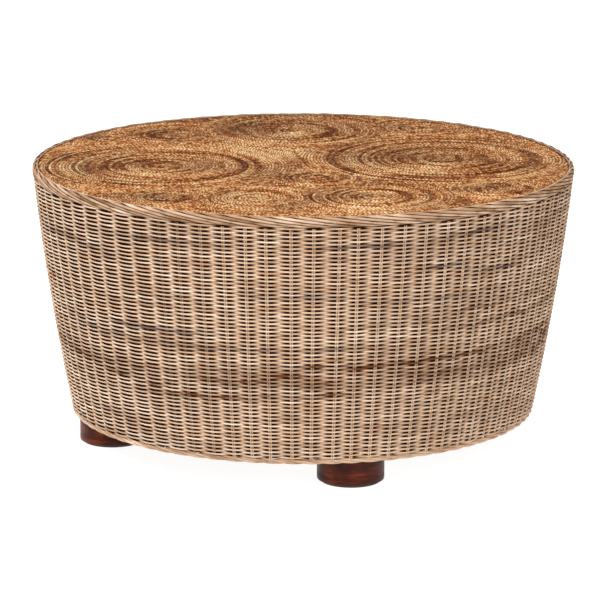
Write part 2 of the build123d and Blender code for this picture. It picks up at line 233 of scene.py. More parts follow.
def lengths(path):
    """Distance along a path up to each of its points."""
    steps = np.linalg.norm(np.diff(path, axis=0), axis=-1)
    return np.concatenate([[0.0], np.cumsum(steps)])


def marks(path, strand, sides):
    """The (along, around, strand) mark of each point of a swept strand."""
    mark = np.empty((len(path), sides, 3))
    mark[..., 0] = lengths(path)[:, None]
    mark[..., 1] = np.arange(sides) / sides
    mark[..., 2] = strand
    return mark


# --- Colour of the woven side: where the weavers are stained

BROWN, GREY, LIGHT = "brown", "grey", "light"

# Each stain: azimuth of its middle and half its length in degrees, height of its middle, half its
# height and rise over its length in mm, strength, and its kind
SIDE_STAINS = [
    (-74, 56, 192, 6.0, 9, 0.80, BROWN),
    (-54, 42, 172, 17.0, 4, 0.62, BROWN),
    (-36, 16, 174, 22.0, 0, 0.78, BROWN),
    (-112, 20, 171, 16.0, 0, 0.74, BROWN),
    (-114, 27, 143, 4.6, 13, 0.85, BROWN),
    (-166, 30, 169, 15.0, -8, 0.60, BROWN),
    (-149, 18, 152, 5.0, -22, 0.60, BROWN),
    (-137, 16, 235, 5.0, 0, 0.60, GREY),
    (-49, 30, 237, 4.5, 0, 0.70, BROWN),
    (-134, 38, 215, 4.5, 0, 0.45, GREY),
    (-93, 13, 219, 4.0, 6, 0.50, GREY),
    (-156, 36, 272, 3.5, 0, 0.50, BROWN),
    (-54, 20, 262, 4.0, 0, 0.45, BROWN),
    (-137, 20, 372, 5.0, 0, 0.45, GREY),
    (-91, 11, 374, 4.5, 3, 0.60, GREY),
    (-67, 10, 379, 4.0, 3, 0.95, GREY),
    (-73, 6, 335, 4.0, 0, 0.75, GREY),
    (-59, 9, 319, 4.0, -4, 0.75, GREY),
    (-164, 18, 345, 9.0, -10, 0.40, GREY),
    (-72, 18, 285, 6.0, 0, 0.40, GREY),
    (-156, 14, 88, 6.0, 0, 0.40, GREY),
    (-164, 18, 52, 5.0, 0, 0.60, BROWN),
    (-106, 11, 300, 8.0, 0, 0.40, GREY),
    (-38, 14, 370, 8.0, 0, 0.40, BROWN),
    (14, 30, 186, 18.0, 4, 0.65, BROWN),
    (20, 36, 330, 6.0, 5, 0.45, GREY),
    (60, 40, 150, 9.0, -8, 0.60, BROWN),
    (62, 30, 196, 8.0, 6, 0.70, BROWN),
    (100, 46, 205, 10.0, 4, 0.65, BROWN),
    (92, 30, 300, 7.0, 4, 0.45, GREY),
    (130, 24, 374, 5.0, 3, 0.60, GREY),
    (150, 40, 178, 12.0, 0, 0.60, BROWN),
    (160, 26, 352, 5.0, -6, 0.50, GREY),
]


def side_tint(u, z, row):
    """Brown stain, grey stain and lightness of the woven side, from turns, height and row number."""
    v = (z - WEAVE_LOW.z) / (WEAVE_HIGH.z - WEAVE_LOW.z)
    brown = 0.30 * np.clip(drift(u, v, 11, 17, 30), 0, 1) ** 2
    grey = 0.25 * np.clip(drift(u, v, 12, 13, 22), 0, 1) ** 2
    ragged = drift(u, v, 13, 60, 110)
    place_in_rows = np.clip(np.asarray(row, float) / (ROWS - 1), 0, 1)
    by_row = np.clip(1.0 + 0.5 * drift(u, place_in_rows, 16, 44, ROWS - 1), 0.2, 1.6)
    for azimuth, half, height, tall, rise, strength, kind in SIDE_STAINS:
        along = (np.mod(u - azimuth / 360 + 0.5, 1) - 0.5) * 360 / half
        level = (z / MM - height - rise * along / 2) / tall
        shape = np.exp(-level ** 4) * np.clip(1.25 - along ** 2, 0, 1)
        amount = strength * shape * (1 + 0.6 * ragged) * by_row
        if kind == GREY:
            grey = np.maximum(grey, amount)
        else:
            brown = np.maximum(brown, amount)
    per_row = np.random.default_rng(14).uniform(-1, 1, ROWS + 40)[np.asarray(row, int)]
    light = 0.5 + 0.12 * per_row + 0.25 * drift(u, v, 15, 53, ROWS)
    return np.stack(np.broadcast_arrays(brown, grey, light), -1)


# --- Woven side

def slack(u):
    """How loosely the weave lies, from 0 to 1: there the stakes sink in, the gaps gape, the weavers get
    a painted highlight and the stakes painted shade.
    """
    return np.clip(np.cos(TAU * (u - SLACK_MIDDLE)), 0, 1) ** 2


def stake_shift(v):
    """How far each stake stands from its even place, in stake spacings, at share v of the height."""
    jitter, lean = STAKE_RANDOM
    return jitter * STAKE_JITTER + lean * STAKE_LEAN * (np.asarray(v)[..., None] - 0.5)


def stake_phase(u, v):
    """Stake number, with its fraction, at u turns and share v of the height."""
    even = u * STAKES - STAKE_START
    low = np.floor(even).astype(int)
    part = even - low
    shift = stake_shift(v)
    here = np.take_along_axis(shift, (low % STAKES)[..., None], -1)[..., 0]
    there = np.take_along_axis(shift, ((low + 1) % STAKES)[..., None], -1)[..., 0]
    return even - here * (1 - part) - there * part


def polar(radius, u, z):
    """Points from radius, turns and height."""
    return np.stack(np.broadcast_arrays(radius * np.cos(u * TAU), radius * np.sin(u * TAU), z), -1)


def weavers(name, first, last, material, replaced):
    """Rows of plain weave, each one a closed strand."""
    strands = Strands()
    count = STAKES * STEPS
    for row in range(first, last):
        u = np.arange(count) / count
        v = np.full(count, (row + 0.5) / ROWS)
        z = WEAVE_LOW.z + (WEAVE_HIGH.z - WEAVE_LOW.z) * v
        z = z + 0.55 * MM * drift(u, v, 22, 38, 14) + 0.26 * MM * drift(u, v, 23, 90, ROWS)
        wave = np.cos(pi * (stake_phase(u, v) + row))
        swing = SWING * (1 + 0.07 * drift(u, v, 24, 76, ROWS))
        path = polar(side_radius(z) - WEAVE_DEPTH + swing * wave, u, z)
        outward = polar(np.ones(count), u, np.zeros(count))
        girth = (1 + 0.11 * drift(u, v, 25, 48, ROWS))[:, None]
        loose = slack(u)
        tight = WEAVER_TIGHT * (1 + 0.5 * loose)
        tall = WEAVER_UP - tight * np.maximum(wave, 0) + WEAVER_LOOSE * np.maximum(-wave, 0)
        rings = swept(path, outward, WEAVER_OUT * girth, tall[:, None] * girth, CANE_SIDES, True)
        tint = side_tint(u, z, row)
        # Painted highlight: the weavers are lighter where the weave is slack, on the left of the table.
        tint[:, 2] += 0.22 * loose
        # Painted shade: the share by which a weaver lies behind a stake, a little more where the weave
        # is slack, which the material darkens to near black.
        depth = np.clip((1 - wave) / 2 + 0.06 * loose, 0, 1)
        mark = marks(path, row * 1.37, CANE_SIDES)
        strands.add(rings, mark, tint[:, None], True, depth[:, None])
    strands.build(name, material, "wicker", replaced)


def stakes(material):
    """Pairs of upright canes that the weavers pass round."""
    strands = Strands()
    low, high = WEAVE_LOW.z - 5 * MM, WEAVE_HIGH.z + 4 * MM
    v = np.linspace(0, 1, 40)
    z = low + (high - low) * v
    shift = stake_shift(v)
    for stake in range(STAKES):
        u = (stake + STAKE_START + shift[:, stake]) / STAKES
        loose = slack(u)
        radius = side_radius(z) - WEAVE_DEPTH + STAKE_OUT - STAKE_SINK * loose
        for side in (-1, 1):
            turn = u + side * STAKE_SHIFT / (radius * TAU)
            path = polar(radius, turn, z)
            outward = polar(np.ones(len(z)), turn, np.zeros(len(z)))
            number = stake * 2 + (side > 0)
            thick = STAKE * np.ones((len(z), 1))
            tint = side_tint(turn, z, number % ROWS)
            tint[:, :2] *= 0.4
            tint[:, 2] += 0.15
            rings = swept(path, outward, thick, thick, CANE_SIDES, False)
            mark = marks(path, number * 1.71, CANE_SIDES)
            # Painted shade: the stakes darken to near black where the weave is slack.
            strands.add(rings, mark, tint[:, None], False, 0.85 * loose[:, None])
    strands.build("stake_canes", material, "cane_stake", ["side_stakes"])


def revolved(section, steps):
    """Rings of a solid of revolution about the table's axis, from a closed loop of (radius, height)."""
    u = (np.arange(steps) / steps)[:, None]
    return polar(section[:, 0], u, section[:, 1])


def painted_shade_core(strands, section):
    """Adds a solid of revolution, near black with painted shade, that closes the sight lines between
    strands.
    """
    rings = revolved(section, STAKES * 4)
    mark = np.stack(np.broadcast_arrays(0.0, 0.5, rings[..., 2] * 30), -1)
    strands.add(rings, mark, np.array([0.0, 0.0, 0.2]), True, 1.0)


def painted_shade_backing(material):
    """A thin band behind the weave, near black with painted shade."""
    z = np.linspace(WEAVE_LOW.z, RIM_LOW.z + 2 * MM, 24)
    inner = np.stack([side_radius(z) - WEAVE_DEPTH - SWING, z], -1)
    outer = inner[::-1] + [0.4 * MM, 0]
    strands = Strands()
    painted_shade_core(strands, np.concatenate([inner, outer]))
    strands.build("painted_shade_backing", material, "wicker", ["side_weave"])


def border_loop():
    """Places round the rim's oblong section, and the share of its outline up to each."""
    angle = np.linspace(0, TAU, 721)
    power = 2 / BORDER_POWER
    out = BORDER_OUT * np.sign(np.cos(angle)) * np.abs(np.cos(angle)) ** power
    up = BORDER_UP * np.sign(np.sin(angle)) * np.abs(np.sin(angle)) ** power
    along = np.concatenate([[0], np.cumsum(np.hypot(np.diff(out), np.diff(up)))])
    return along / along[-1], out, up


def near(share, centre, width):
    """1 at a place on the outline, fading to 0 away from it."""
    return np.exp(-(((share - centre + 0.5) % 1 - 0.5) / width) ** 2)


def wound_cane(strands, centre_radius, centre_z):
    """Adds the cane that winds round and round the rim, in beside every stake."""
    shares, outs, ups = border_loop()
    count = STAKES * BORDER_STEPS * BORDER_LAPS
    lap = np.arange(count) / count
    u = lap * BORDER_LAPS
    share = np.mod((STAKE_START - STAKES * u) / BORDER_LAPS, 1)
    out, up = np.interp(share, shares, outs), np.interp(share, shares, ups)
    normal = unit(np.stack([out / BORDER_OUT ** 2, up / BORDER_UP ** 2], -1))
    rise = 0.55 * MM * drift(lap, 0.5, 41, 60 * BORDER_LAPS, 1)
    path = polar(centre_radius + out + normal[:, 0] * rise, u, centre_z + up + normal[:, 1] * rise)
    outward = polar(normal[:, 0] + 1e-6, u, normal[:, 1])
    girth = 1 + 0.10 * drift(lap, 0.5, 45, 60 * BORDER_LAPS, 1)
    # Slits between the laps, on the outer face and on top, where the cane narrows and painted shade
    # darkens it
    slit_shade = np.maximum(near(share, 0.93, 0.034), 0.9 * near(share, 0.25, 0.030))
    wide = BORDER_WIDE * girth * (1 - 0.32 * slit_shade)
    rings = swept(path, outward, BORDER_THICK * girth[:, None], wide[:, None], CANE_SIDES, True)
    tint = side_tint(u, np.full(count, WEAVE_HIGH.z), ROWS)
    tint[:, :2] *= 0.5
    tint[:, 2] = 0.26 + 0.75 * drift(lap, 0.5, 49, 50 * BORDER_LAPS, 1)
    mark = marks(path, 2.3, CANE_SIDES)
    strands.add(rings, mark, tint[:, None], True, 0.85 * slit_shade[:, None])


def ring_cane(strands, radius, z):
    """Adds the thin cane that runs along the inner edge of the rim."""
    count = STAKES * STEPS
    u = np.arange(count) / count
    ripple = 0.25 * MM * np.cos(TAU * (STAKES * u - STAKE_START))
    path = polar(radius + ripple, u, z)
    rings = swept(path, polar(np.ones(count), u, np.zeros(count)), MM, MM, CANE_SIDES, True)
    light = 0.8 + 0.3 * drift(u, 0.5, 53, 90, 1)
    tint = np.stack([np.zeros(count), np.zeros(count), light], -1)
    strands.add(rings, marks(path, 7.7, CANE_SIDES), tint[:, None], True)


def border_plait(material):
    """The rim: the wound cane, a thin cane inside it and a core that is near black with painted shade.
    """
    radius = (RIM_HIGH.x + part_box("infill_rope")[1].x) / 2
    z = (RIM_LOW.z + RIM_HIGH.z) / 2 - BORDER_DROP
    strands = Strands()
    wound_cane(strands, radius, z)
    ring_cane(strands, radius - 3.3 * MM, z + BORDER_UP + 0.2 * MM)
    _, outs, ups = border_loop()
    core = np.stack([radius + outs[::-20] * 0.72, z + ups[::-20] * 0.86], -1)[:-1]
    painted_shade_core(strands, core)
    strands.build("border_plait", material, "wicker", ["top_border"])


def base_twining(material):
    """The lower edge: canes that twist round each other as they pass the stakes."""
    middle = (BASE_LOW.z + BASE_HIGH.z) / 2
    count = STAKES * BORDER_STEPS * BASE_CANES
    lap = np.arange(count) / count
    u = lap * BASE_CANES
    phase = TAU * STAKES * u / BASE_CANES
    wander = 0.15 * MM * drift(lap, 0.5, BASE_ROW, 120 * BASE_CANES, 1)
    radius = BASE_HIGH.x - BASE_INSET + BASE_OUT * np.cos(phase) + wander
    path = polar(radius, u, middle - BASE_UP * np.sin(phase))
    outward = polar(np.ones(count), u, np.zeros(count))
    girth = np.full((count, 1), BASE_CANE)
    rings = swept(path, outward, girth, girth, CANE_SIDES, True)
    tint = side_tint(u, np.full(count, middle), ROWS + BASE_ROW % 30)
    tint[:, :2] *= 0.6
    tint[:, 2] -= 0.14
    strands = Strands()
    strands.add(rings, marks(path, BASE_ROW * 1.9, CANE_SIDES), tint[:, None], True)
    strands.build("base_twining", material, "wicker", ["bottom_border"])


# --- Rope top

def rope_rings(path, width, closed):
    """Rings of a two-ply rope that lies flat on the panel."""
    along = lengths(path)[:, None]
    around = np.arange(ROPE_SIDES) / ROPE_SIDES
    groove = 0.5 - 0.5 * np.cos(2 * TAU * (around - along / LAY))
    swell = 1.0 - 0.24 * groove
    outward = np.broadcast_to([0.0, 0.0, 1.0], path.shape)
    return swept(path, outward, ROPE / 2 * swell, (width / 2)[:, None] * swell, ROPE_SIDES, closed)


def coil_path(centre, radius):
    """Centre line and width of a coil that fills its disc, thinning out at both ends."""
    turns = radius / ROPE
    # At turn t the rope lies between the radii t - 1 and t ropes, cut off at 0 and at the disc's edge
    fine = np.linspace(0.35, turns + 0.985, int(turns * 260))
    outer = np.minimum(ROPE * fine, radius)
    inner = np.maximum(ROPE * (fine - 1), 0)
    middle = (outer + inner) / 2
    rough = polar(middle, fine, np.zeros(len(fine)))
    along = lengths(rough)
    even = np.linspace(0, along[-1], int(along[-1] / ROPE_STEP))
    turn = np.interp(even, along, fine)
    outer = np.minimum(ROPE * turn, radius)
    inner = np.maximum(ROPE * (turn - 1), 0)
    path = polar((outer + inner) / 2, turn, np.full(len(turn), centre.z))
    path[:, 0] += centre.x
    path[:, 1] += centre.y
    return path, np.maximum(outer - inner, 0.4 * MM)


def coil_discs():
    """Centre and radius of each coil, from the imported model."""
    discs = []
    for name in COILS:
        low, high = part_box(name)
        discs.append((name, (low + high) / 2, (high.x - low.x) / 2))
    return discs


def gap_field(x, y):
    """Smoothed distance from the nearest coil's edge."""
    total = 0
    for _, centre, radius in coil_discs():
        total = total + np.exp(-(np.hypot(x - centre.x, y - centre.y) - radius) / BLEND)
    return -BLEND * np.log(total)


def far_end(kind, i, j):
    """The other end of the grid edge from (i, j), which runs along i if its kind is 0, else along j."""
    return (i + 1, j) if kind == 0 else (i, j + 1)


def contours(values, level, start):
    """Chains of points where a square grid of values crosses a level."""
    above = values > level
    links = {}
    mixed = above[:-1, :-1].astype(int) + above[1:, :-1] + above[:-1, 1:] + above[1:, 1:]
    for i, j in np.argwhere((mixed > 0) & (mixed < 4)):
        edges = ((0, i, j), (1, i + 1, j), (0, i, j + 1), (1, i, j))
        ends = [edge for edge in edges if above[edge[1:]] != above[far_end(*edge)]]
        for a, b in zip(ends[::2], ends[1::2]):
            links.setdefault(a, []).append(b)
            links.setdefault(b, []).append(a)
    spot = {}
    for kind, i, j in links:
        k, m = far_end(kind, i, j)
        part = (level - values[i, j]) / (values[k, m] - values[i, j])
        x, y = i + (k - i) * part, j + (m - j) * part
        spot[kind, i, j] = (start + x * GRID_STEP, start + y * GRID_STEP)
    chains = []
    for seeds in ([e for e in links if len(links[e]) == 1], list(links)):
        for first in seeds:
            if not links[first]:
                continue
            chain, at = [first], first
            while links[at]:
                after = links[at].pop()
                links[after].remove(at)
                chain.append(after)
                at = after
            chains.append(np.array([spot[e] for e in chain]))
    return chains


def inside_runs(chain, limit):
    """The stretches of a chain that lie within limit of the table's axis."""
    kept = np.hypot(chain[:, 0], chain[:, 1]) < limit
    cuts = np.flatnonzero(np.diff(kept.astype(int))) + 1
    return [run for run, keep in zip(np.split(chain, cuts), np.split(kept, cuts)) if keep[0]]


def smoothed(chain, rounds):
    """Softens a chain, closed or open, and spaces its points evenly."""
    closed = np.allclose(chain[0], chain[-1])
    points = chain[:-1] if closed else chain
    for _ in range(rounds):
        if closed:
            points = (np.roll(points, 1, 0) + 2 * points + np.roll(points, -1, 0)) / 4
        else:
            middle = (points[:-2] + 2 * points[1:-1] + points[2:]) / 4
            points = np.concatenate([points[:1], middle, points[-1:]])
    if closed:
        points = np.concatenate([points, points[:1]])
    along = lengths(points)
    count = max(int(along[-1] / ROPE_STEP), 6)
    even = np.linspace(0, along[-1], count + 1)
    points = np.stack([np.interp(even, along, points[:, axis]) for axis in (0, 1)], -1)
    return (points[:-1] if closed else points), closed


def infill_paths():
    """Centre lines of the rope between the coils, which follows their outlines."""
    reach = MAT_HIGH.x + 6 * MM
    ticks = np.arange(-reach, reach, GRID_STEP)
    values = gap_field(ticks[:, None], ticks[None, :])
    inside = np.hypot(ticks[:, None], ticks[None, :]) < MAT_HIGH.x
    deepest = values[inside].max()
    paths = []
    level = ROPE / 2
    while level < deepest:
        for chain in contours(values, level, ticks[0]):
            for run in inside_runs(chain, MAT_HIGH.x - 1.5 * MM):
                if len(run) > 4:
                    paths.append(smoothed(run, 3))
        level += ROPE
    return paths


def rope_width(points):
    """Width of the rope at each point, so that neighbours touch."""
    step = 0.5 * MM
    x, y = points[:, 0], points[:, 1]
    rise_x = gap_field(x + step, y) - gap_field(x - step, y)
    rise_y = gap_field(x, y + step) - gap_field(x, y - step)
    slope = np.hypot(rise_x, rise_y) / (2 * step)
    return ROPE / np.clip(slope, 0.62, 1.0)


# Each dark ring in the rope: coil, radius and half width in mm, direction and half spread in degrees,
# and strength
ROPE_RINGS = [
    ("coil_left", 126, 2.8, 0, 180, 0.85),
    ("coil_left", 128, 3.4, -110, 60, 0.90),
    ("coil_left", 124, 3.4, 8, 30, 1.00),
    ("coil_left", 104, 3.5, 12, 50, 0.50),
    ("coil_left", 176, 3.5, 20, 60, 0.60),
    ("coil_right", 132, 2.6, 185, 62, 0.34),
    ("coil_right", 112, 2.6, 185, 56, 0.36),
    ("coil_right", 92, 2.6, 180, 50, 0.36),
    ("coil_right", 132, 4.0, -6, 50, 0.80),
    ("coil_right", 145, 4.5, -10, 44, 0.85),
    ("coil_right", 80, 6.0, 125, 46, 0.80),
    ("coil_right", 128, 7.0, -98, 30, 0.95),
    ("coil_right", 130, 5.0, 62, 34, 0.75),
    ("coil_back", 94, 9.0, 140, 42, 0.95),
    ("coil_back", 78, 3.5, 0, 180, 0.75),
    ("coil_back", 102, 4.0, 20, 60, 0.65),
    ("coil_back", 56, 3.5, -90, 70, 0.50),
    ("coil_back_right", 30, 3.5, 0, 180, 0.85),
    ("coil_back_left", 42, 5.0, 0, 180, 0.45),
    ("coil_far_left", 30, 4.0, 0, 180, 0.50),
    ("coil_middle", 18, 3.5, 0, 180, 0.85),
    ("coil_middle", 38, 3.5, 0, 180, 0.80),
    ("coil_front", 22, 3.5, 0, 180, 0.60),
    ("coil_front", 50, 3.0, 0, 180, 0.50),
    ("coil_front", 82, 4.0, -10, 70, 0.75),
    ("coil_front_middle", 50, 4.0, -90, 80, 0.50),
    ("coil_front_left", 30, 4.0, 0, 180, 0.50),
]

# Each patch in the rope: x, y and radius in mm, strength, and its kind
ROPE_PATCHES = [
    (-236, 50, 32, 0.55, BROWN),
    (-190, -4, 26, 0.45, BROWN),
    (-142, 285, 46, 0.50, GREY),
    (-262, 275, 17, 0.95, GREY),
    (-150, 235, 30, 0.35, BROWN),
    (-262, -204, 42, 0.60, BROWN),
    (233, -243, 36, 0.65, BROWN),
    (225, 45, 40, 0.35, BROWN),
    (40, -258, 14, 0.60, BROWN),
    (-129, -241, 12, 0.60, GREY),
    (-100, -316, 30, 0.50, BROWN),
    (100, 30, 60, 0.40, BROWN),
    (-60, -60, 70, 0.35, BROWN),
    (-205, 28, 105, 0.32, BROWN),
    (205, -10, 130, 0.46, BROWN),
    (-160, 20, 62, 0.42, BROWN),
    (60, 320, 210, 0.50, BROWN),
    (340, 110, 90, 0.30, BROWN),
    (62, -175, 26, 0.45, BROWN),
    (-20, 75, 52, 0.55, LIGHT),
    (-129, -241, 44, 0.45, LIGHT),
    (54, 239, 20, 0.55, LIGHT),
    (165, -85, 36, 0.40, LIGHT),
    (46, -22, 32, 0.50, LIGHT),
    (74, -108, 32, 0.45, LIGHT),
    (-312, -18, 40, 0.48, LIGHT),
    (-262, -72, 36, 0.42, LIGHT),
    (0, -352, 34, 0.40, LIGHT),
    (-372, 60, 44, 0.40, LIGHT),
    (-60, 160, 40, 0.35, LIGHT),
]


def turn_bands(turn, angle, seed):
    """Tone that differs from one turn of rope to the next and drifts along it, about -1 to 1."""
    rows = int(turn.max()) + 2
    fine = drift(angle, turn / rows, seed, 6, rows)
    broad = drift(angle, turn / rows, seed + 1, 4, max(rows // 4, 2))
    return 0.84 * fine + 0.16 * broad


def rope_tint(path, bands):
    """Brown stain, grey stain and lightness of the rope along a path."""
    x, y = path[:, 0], path[:, 1]
    u, v = x / (2 * RIM_RADIUS) + 0.5, y / (2 * RIM_RADIUS) + 0.5
    brown = 0.22 * np.clip(drift(u, v, 31, 12, 12), 0, 1) + 0.7 * np.clip(-bands - 0.36, 0, 1)
    grey = 0.15 * np.clip(drift(u, v, 32, 10, 10), 0, 1)
    light = 0.57 + 0.10 * drift(u, v, 33, 26, 26)
    light = light + 0.38 * np.maximum(bands, 0) + 0.62 * np.minimum(bands, 0)
    centres = {name: centre for name, centre, _ in coil_discs()}
    for coil, radius, half, direction, spread, strength in ROPE_RINGS:
        dx, dy = x - centres[coil].x, y - centres[coil].y
        off = np.degrees(np.arctan2(dy, dx)) - direction
        off = np.abs(np.mod(off + 180, 360) - 180)
        fade = 1.0 if spread >= 180 else np.clip(1.5 - off / spread, 0, 1)
        amount = strength * fade * np.exp(-((np.hypot(dx, dy) / MM - radius) / half) ** 2)
        brown = np.maximum(brown, amount)
    for px, py, radius, strength, kind in ROPE_PATCHES:
        amount = strength * np.exp(-(np.hypot(x / MM - px, y / MM - py) / radius) ** 2)
        if kind == BROWN:
            brown = np.maximum(brown, amount)
        elif kind == GREY:
            grey = np.maximum(grey, amount)
        else:
            light = light + 0.6 * amount
            brown = brown * (1 - amount)
    return np.stack([brown, grey, light], -1)[:, None]


def coil_pieces(material):
    """One rope piece for each coil."""
    for number, (name, centre, radius) in enumerate(coil_discs()):
        path, width = coil_path(centre, radius)
        strands = Strands()
        mark = marks(path, number * 5.1, ROPE_SIDES)
        dx, dy = path[:, 0] - centre.x, path[:, 1] - centre.y
        bands = turn_bands(np.hypot(dx, dy) / ROPE, np.arctan2(dy, dx) / TAU, 200 + 2 * number)
        strands.add(rope_rings(path, width, False), mark, rope_tint(path, bands), False)
        strands.build(f"rope_{name}", material, "seagrass_rope", [name])


def rope_bed(material):
    """A flat backing under the rope, seen only where the coils leave a gap."""
    low, high = MAT_LOW.z, MAT_HIGH.z - 1.3 * MM
    radii = np.linspace(2 * MM, MAT_HIGH.x, 40)
    over = np.stack([radii, np.full(40, high)], -1)
    under = np.stack([radii[::-1], np.full(40, low)], -1)
    rings = revolved(np.concatenate([over, under]), 240)
    mark = np.stack([rings[..., 0], np.full(rings.shape[:2], 0.5), rings[..., 1] * 60], -1)
    strands = Strands()
    strands.add(rings, mark, np.array([0.35, 0.1, 0.35]), True)
    strands.build("rope_bed", material, "seagrass_rope", ["infill_rope"])


def infill_pieces(material):
    """The rope between the coils, in two pieces."""
    low, high = Strands(), Strands()
    for number, (flat, closed) in enumerate(infill_paths()):
        path = np.column_stack([flat, np.full(len(flat), (MAT_LOW.z + MAT_HIGH.z) / 2)])
        target = low if flat[:, 1].mean() < 0 else high
        mark = marks(path, 70 + number * 3.3, ROPE_SIDES)
        angle = np.arctan2(flat[:, 1], flat[:, 0]) / TAU
        bands = 0.35 * turn_bands(np.full(len(flat), 3.0), angle, 300 + 2 * number)
        target.add(rope_rings(path, rope_width(flat), closed), mark, rope_tint(path, bands), closed)
    low.build("rope_infill_front", material, "seagrass_rope", ["infill_rope"])
    high.build("rope_infill_back", material, "seagrass_rope", ["infill_rope"])


# --- Feet

def turned_foot(side, material):
    """A round foot: straight wall, two fine turned lines and a rounded lower edge."""
    low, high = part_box(f"foot_{side}")
    centre, radius = (low + high) / 2, (high.x - low.x) / 2
    edge = 2.5 * MM
    profile = [(0.0, low.z), (radius - edge, low.z)]
    for step in range(1, 9):
        angle = step / 8 * pi / 2
        profile.append((radius - edge + edge * sin(angle), low.z + edge - edge * cos(angle)))
    for line in (8.6 * MM, 11.4 * MM):
        for offset, depth in ((-0.5, 0.0), (-0.2, 0.35), (0.2, 0.35), (0.5, 0.0)):
            profile.append((radius - depth * MM, low.z + line + offset * MM))
    profile += [(radius, low.z + (high.z - low.z) * share) for share in (0.45, 0.7, 0.9)]
    profile += [(radius - 0.2 * MM, high.z - 0.8 * MM), (radius - 1.0 * MM, high.z), (0.0, high.z)]
    lathe(f"turned_foot_{side}", profile, centre, 128, material, [f"foot_{side}"])


def lathe(name, profile, centre, segments, material, replaced):
    """A solid of revolution from (radius, height) pairs that start and end on the axis."""
    points = [(centre.x, centre.y, profile[0][1])]
    for radius, z in profile[1:-1]:
        for step in range(segments):
            angle = step / segments * TAU
            points.append((centre.x + radius * cos(angle), centre.y + radius * sin(angle), z))
    points.append((centre.x, centre.y, profile[-1][1]))
    faces = []
    rings = len(profile) - 2
    for step in range(segments):
        after = (step + 1) % segments
        faces.append((0, 1 + after, 1 + step))
        for ring in range(rings - 1):
            low, high = 1 + ring * segments, 1 + (ring + 1) * segments
            faces.append((low + step, low + after, high + after, high + step))
        last = 1 + (rings - 1) * segments
        faces.append((last + step, last + after, len(points) - 1))
    mesh = bpy.data.meshes.new(name)
    mesh.from_pydata(points, [], faces)
    mesh.shade_smooth()
    mesh.set_sharp_from_angle(angle=radians(40))
    place(bpy.data.objects.new(name, mesh), material, replaced)


# --- Materials

class Shader:
    """A material that is built node by node."""

    def __init__(self, name, **settings):
        self.material = bpy.data.materials.new(name)
        self.material.use_nodes = True
        self.tree = self.material.node_tree
        self.bsdf = self.tree.nodes["Principled BSDF"]
        for socket, value in settings.items():
            self.bsdf.inputs[socket.replace("_", " ")].default_value = value

    def node(self, kind, *inputs, **settings):
        """A node with its inputs filled in order: None leaves one as it is."""
        node = self.tree.nodes.new(kind)
        for key, value in settings.items():
            setattr(node, key, value)
        for socket, value in zip(node.inputs, inputs):
            self.feed(socket, value)
        return node

    def feed(self, socket, value):
        """Links a socket or sets a constant."""
        if isinstance(value, bpy.types.NodeSocket):
            self.tree.links.new(value, socket)
        elif value is not None:
            socket.default_value = value

    def math(self, operation, a, b=None, clamp=False):
        return self.node("ShaderNodeMath", a, b, operation=operation, use_clamp=clamp).outputs[0]

    def times(self, a, b, clamp=False):
        return self.math("MULTIPLY", a, b, clamp)

    def plus(self, a, b):
        return self.math("ADD", a, b)

    def weigh(self, first, *others):
        """The weighted sum of (value, weight) pairs."""
        total = self.times(*first)
        for value, weight in others:
            total = self.plus(total, self.times(value, weight))
        return total

    def split(self, vector):
        return self.node("ShaderNodeSeparateXYZ", vector).outputs

    def join(self, x, y, z):
        return self.node("ShaderNodeCombineXYZ", x, y, z).outputs[0]

    def noise(self, vector, scale, detail=2.0, roughness=0.5):
        node = self.node("ShaderNodeTexNoise")
        self.feed(node.inputs["Vector"], vector)
        node.inputs["Scale"].default_value = scale
        node.inputs["Detail"].default_value = detail
        node.inputs["Roughness"].default_value = roughness
        return node.outputs["Fac"]

    def ramp(self, value, *stops):
        node = self.node("ShaderNodeValToRGB", value)
        ramp = node.color_ramp
        while len(ramp.elements) < len(stops):
            ramp.elements.new(0.5)
        for element, (position, colour) in zip(ramp.elements, stops):
            element.position = position
            element.color = colour
        return node.outputs[0]

    def span(self, value, low, high):
        """Value from low..high mapped to 0..1, clamped."""
        node = self.node("ShaderNodeMapRange", value, low, high, 0.0, 1.0)
        return node.outputs[0]

    def mix(self, share, a, b, mode="MIX"):
        node = self.node("ShaderNodeMix", data_type="RGBA", blend_type=mode)
        self.feed(node.inputs[0], share)
        self.feed(node.inputs[6], a)
        self.feed(node.inputs[7], b)
        return node.outputs[2]

    def attribute(self, name):
        return self.node("ShaderNodeAttribute", attribute_name=name).outputs["Vector"]

    def places(self):
        """Place in the table's frame."""
        return self.node("ShaderNodeTexCoord").outputs["Object"]

    def stretched(self, vector, x, y, z):
        return self.node("ShaderNodeVectorMath", vector, (x, y, z), operation="MULTIPLY").outputs[0]

    def bump(self, height, distance, strength):
        node = self.node("ShaderNodeBump")
        self.feed(node.inputs["Height"], height)
        node.inputs["Distance"].default_value = distance
        node.inputs["Strength"].default_value = strength
        self.feed(self.bsdf.inputs["Normal"], node.outputs[0])

    def colour(self, value):
        self.feed(self.bsdf.inputs["Base Color"], value)

    def rough(self, value, low, high):
        """Roughness that varies from low to high with a value."""
        node = self.node("ShaderNodeMapRange", value, 0.0, 1.0, low, high)
        self.feed(self.bsdf.inputs["Roughness"], node.outputs[0])

    def grain(self, value, low, high, distance, strength):
        """Roughness and relief that follow one value."""
        self.rough(value, low, high)
        self.bump(value, distance, strength)


def inward(shader, around):
    """0 on the side of a strand that faces out, up to 1 on the side that faces in."""
    return shader.times(shader.math("ABSOLUTE", shader.math("SUBTRACT", around, 0.5)), 2.0)


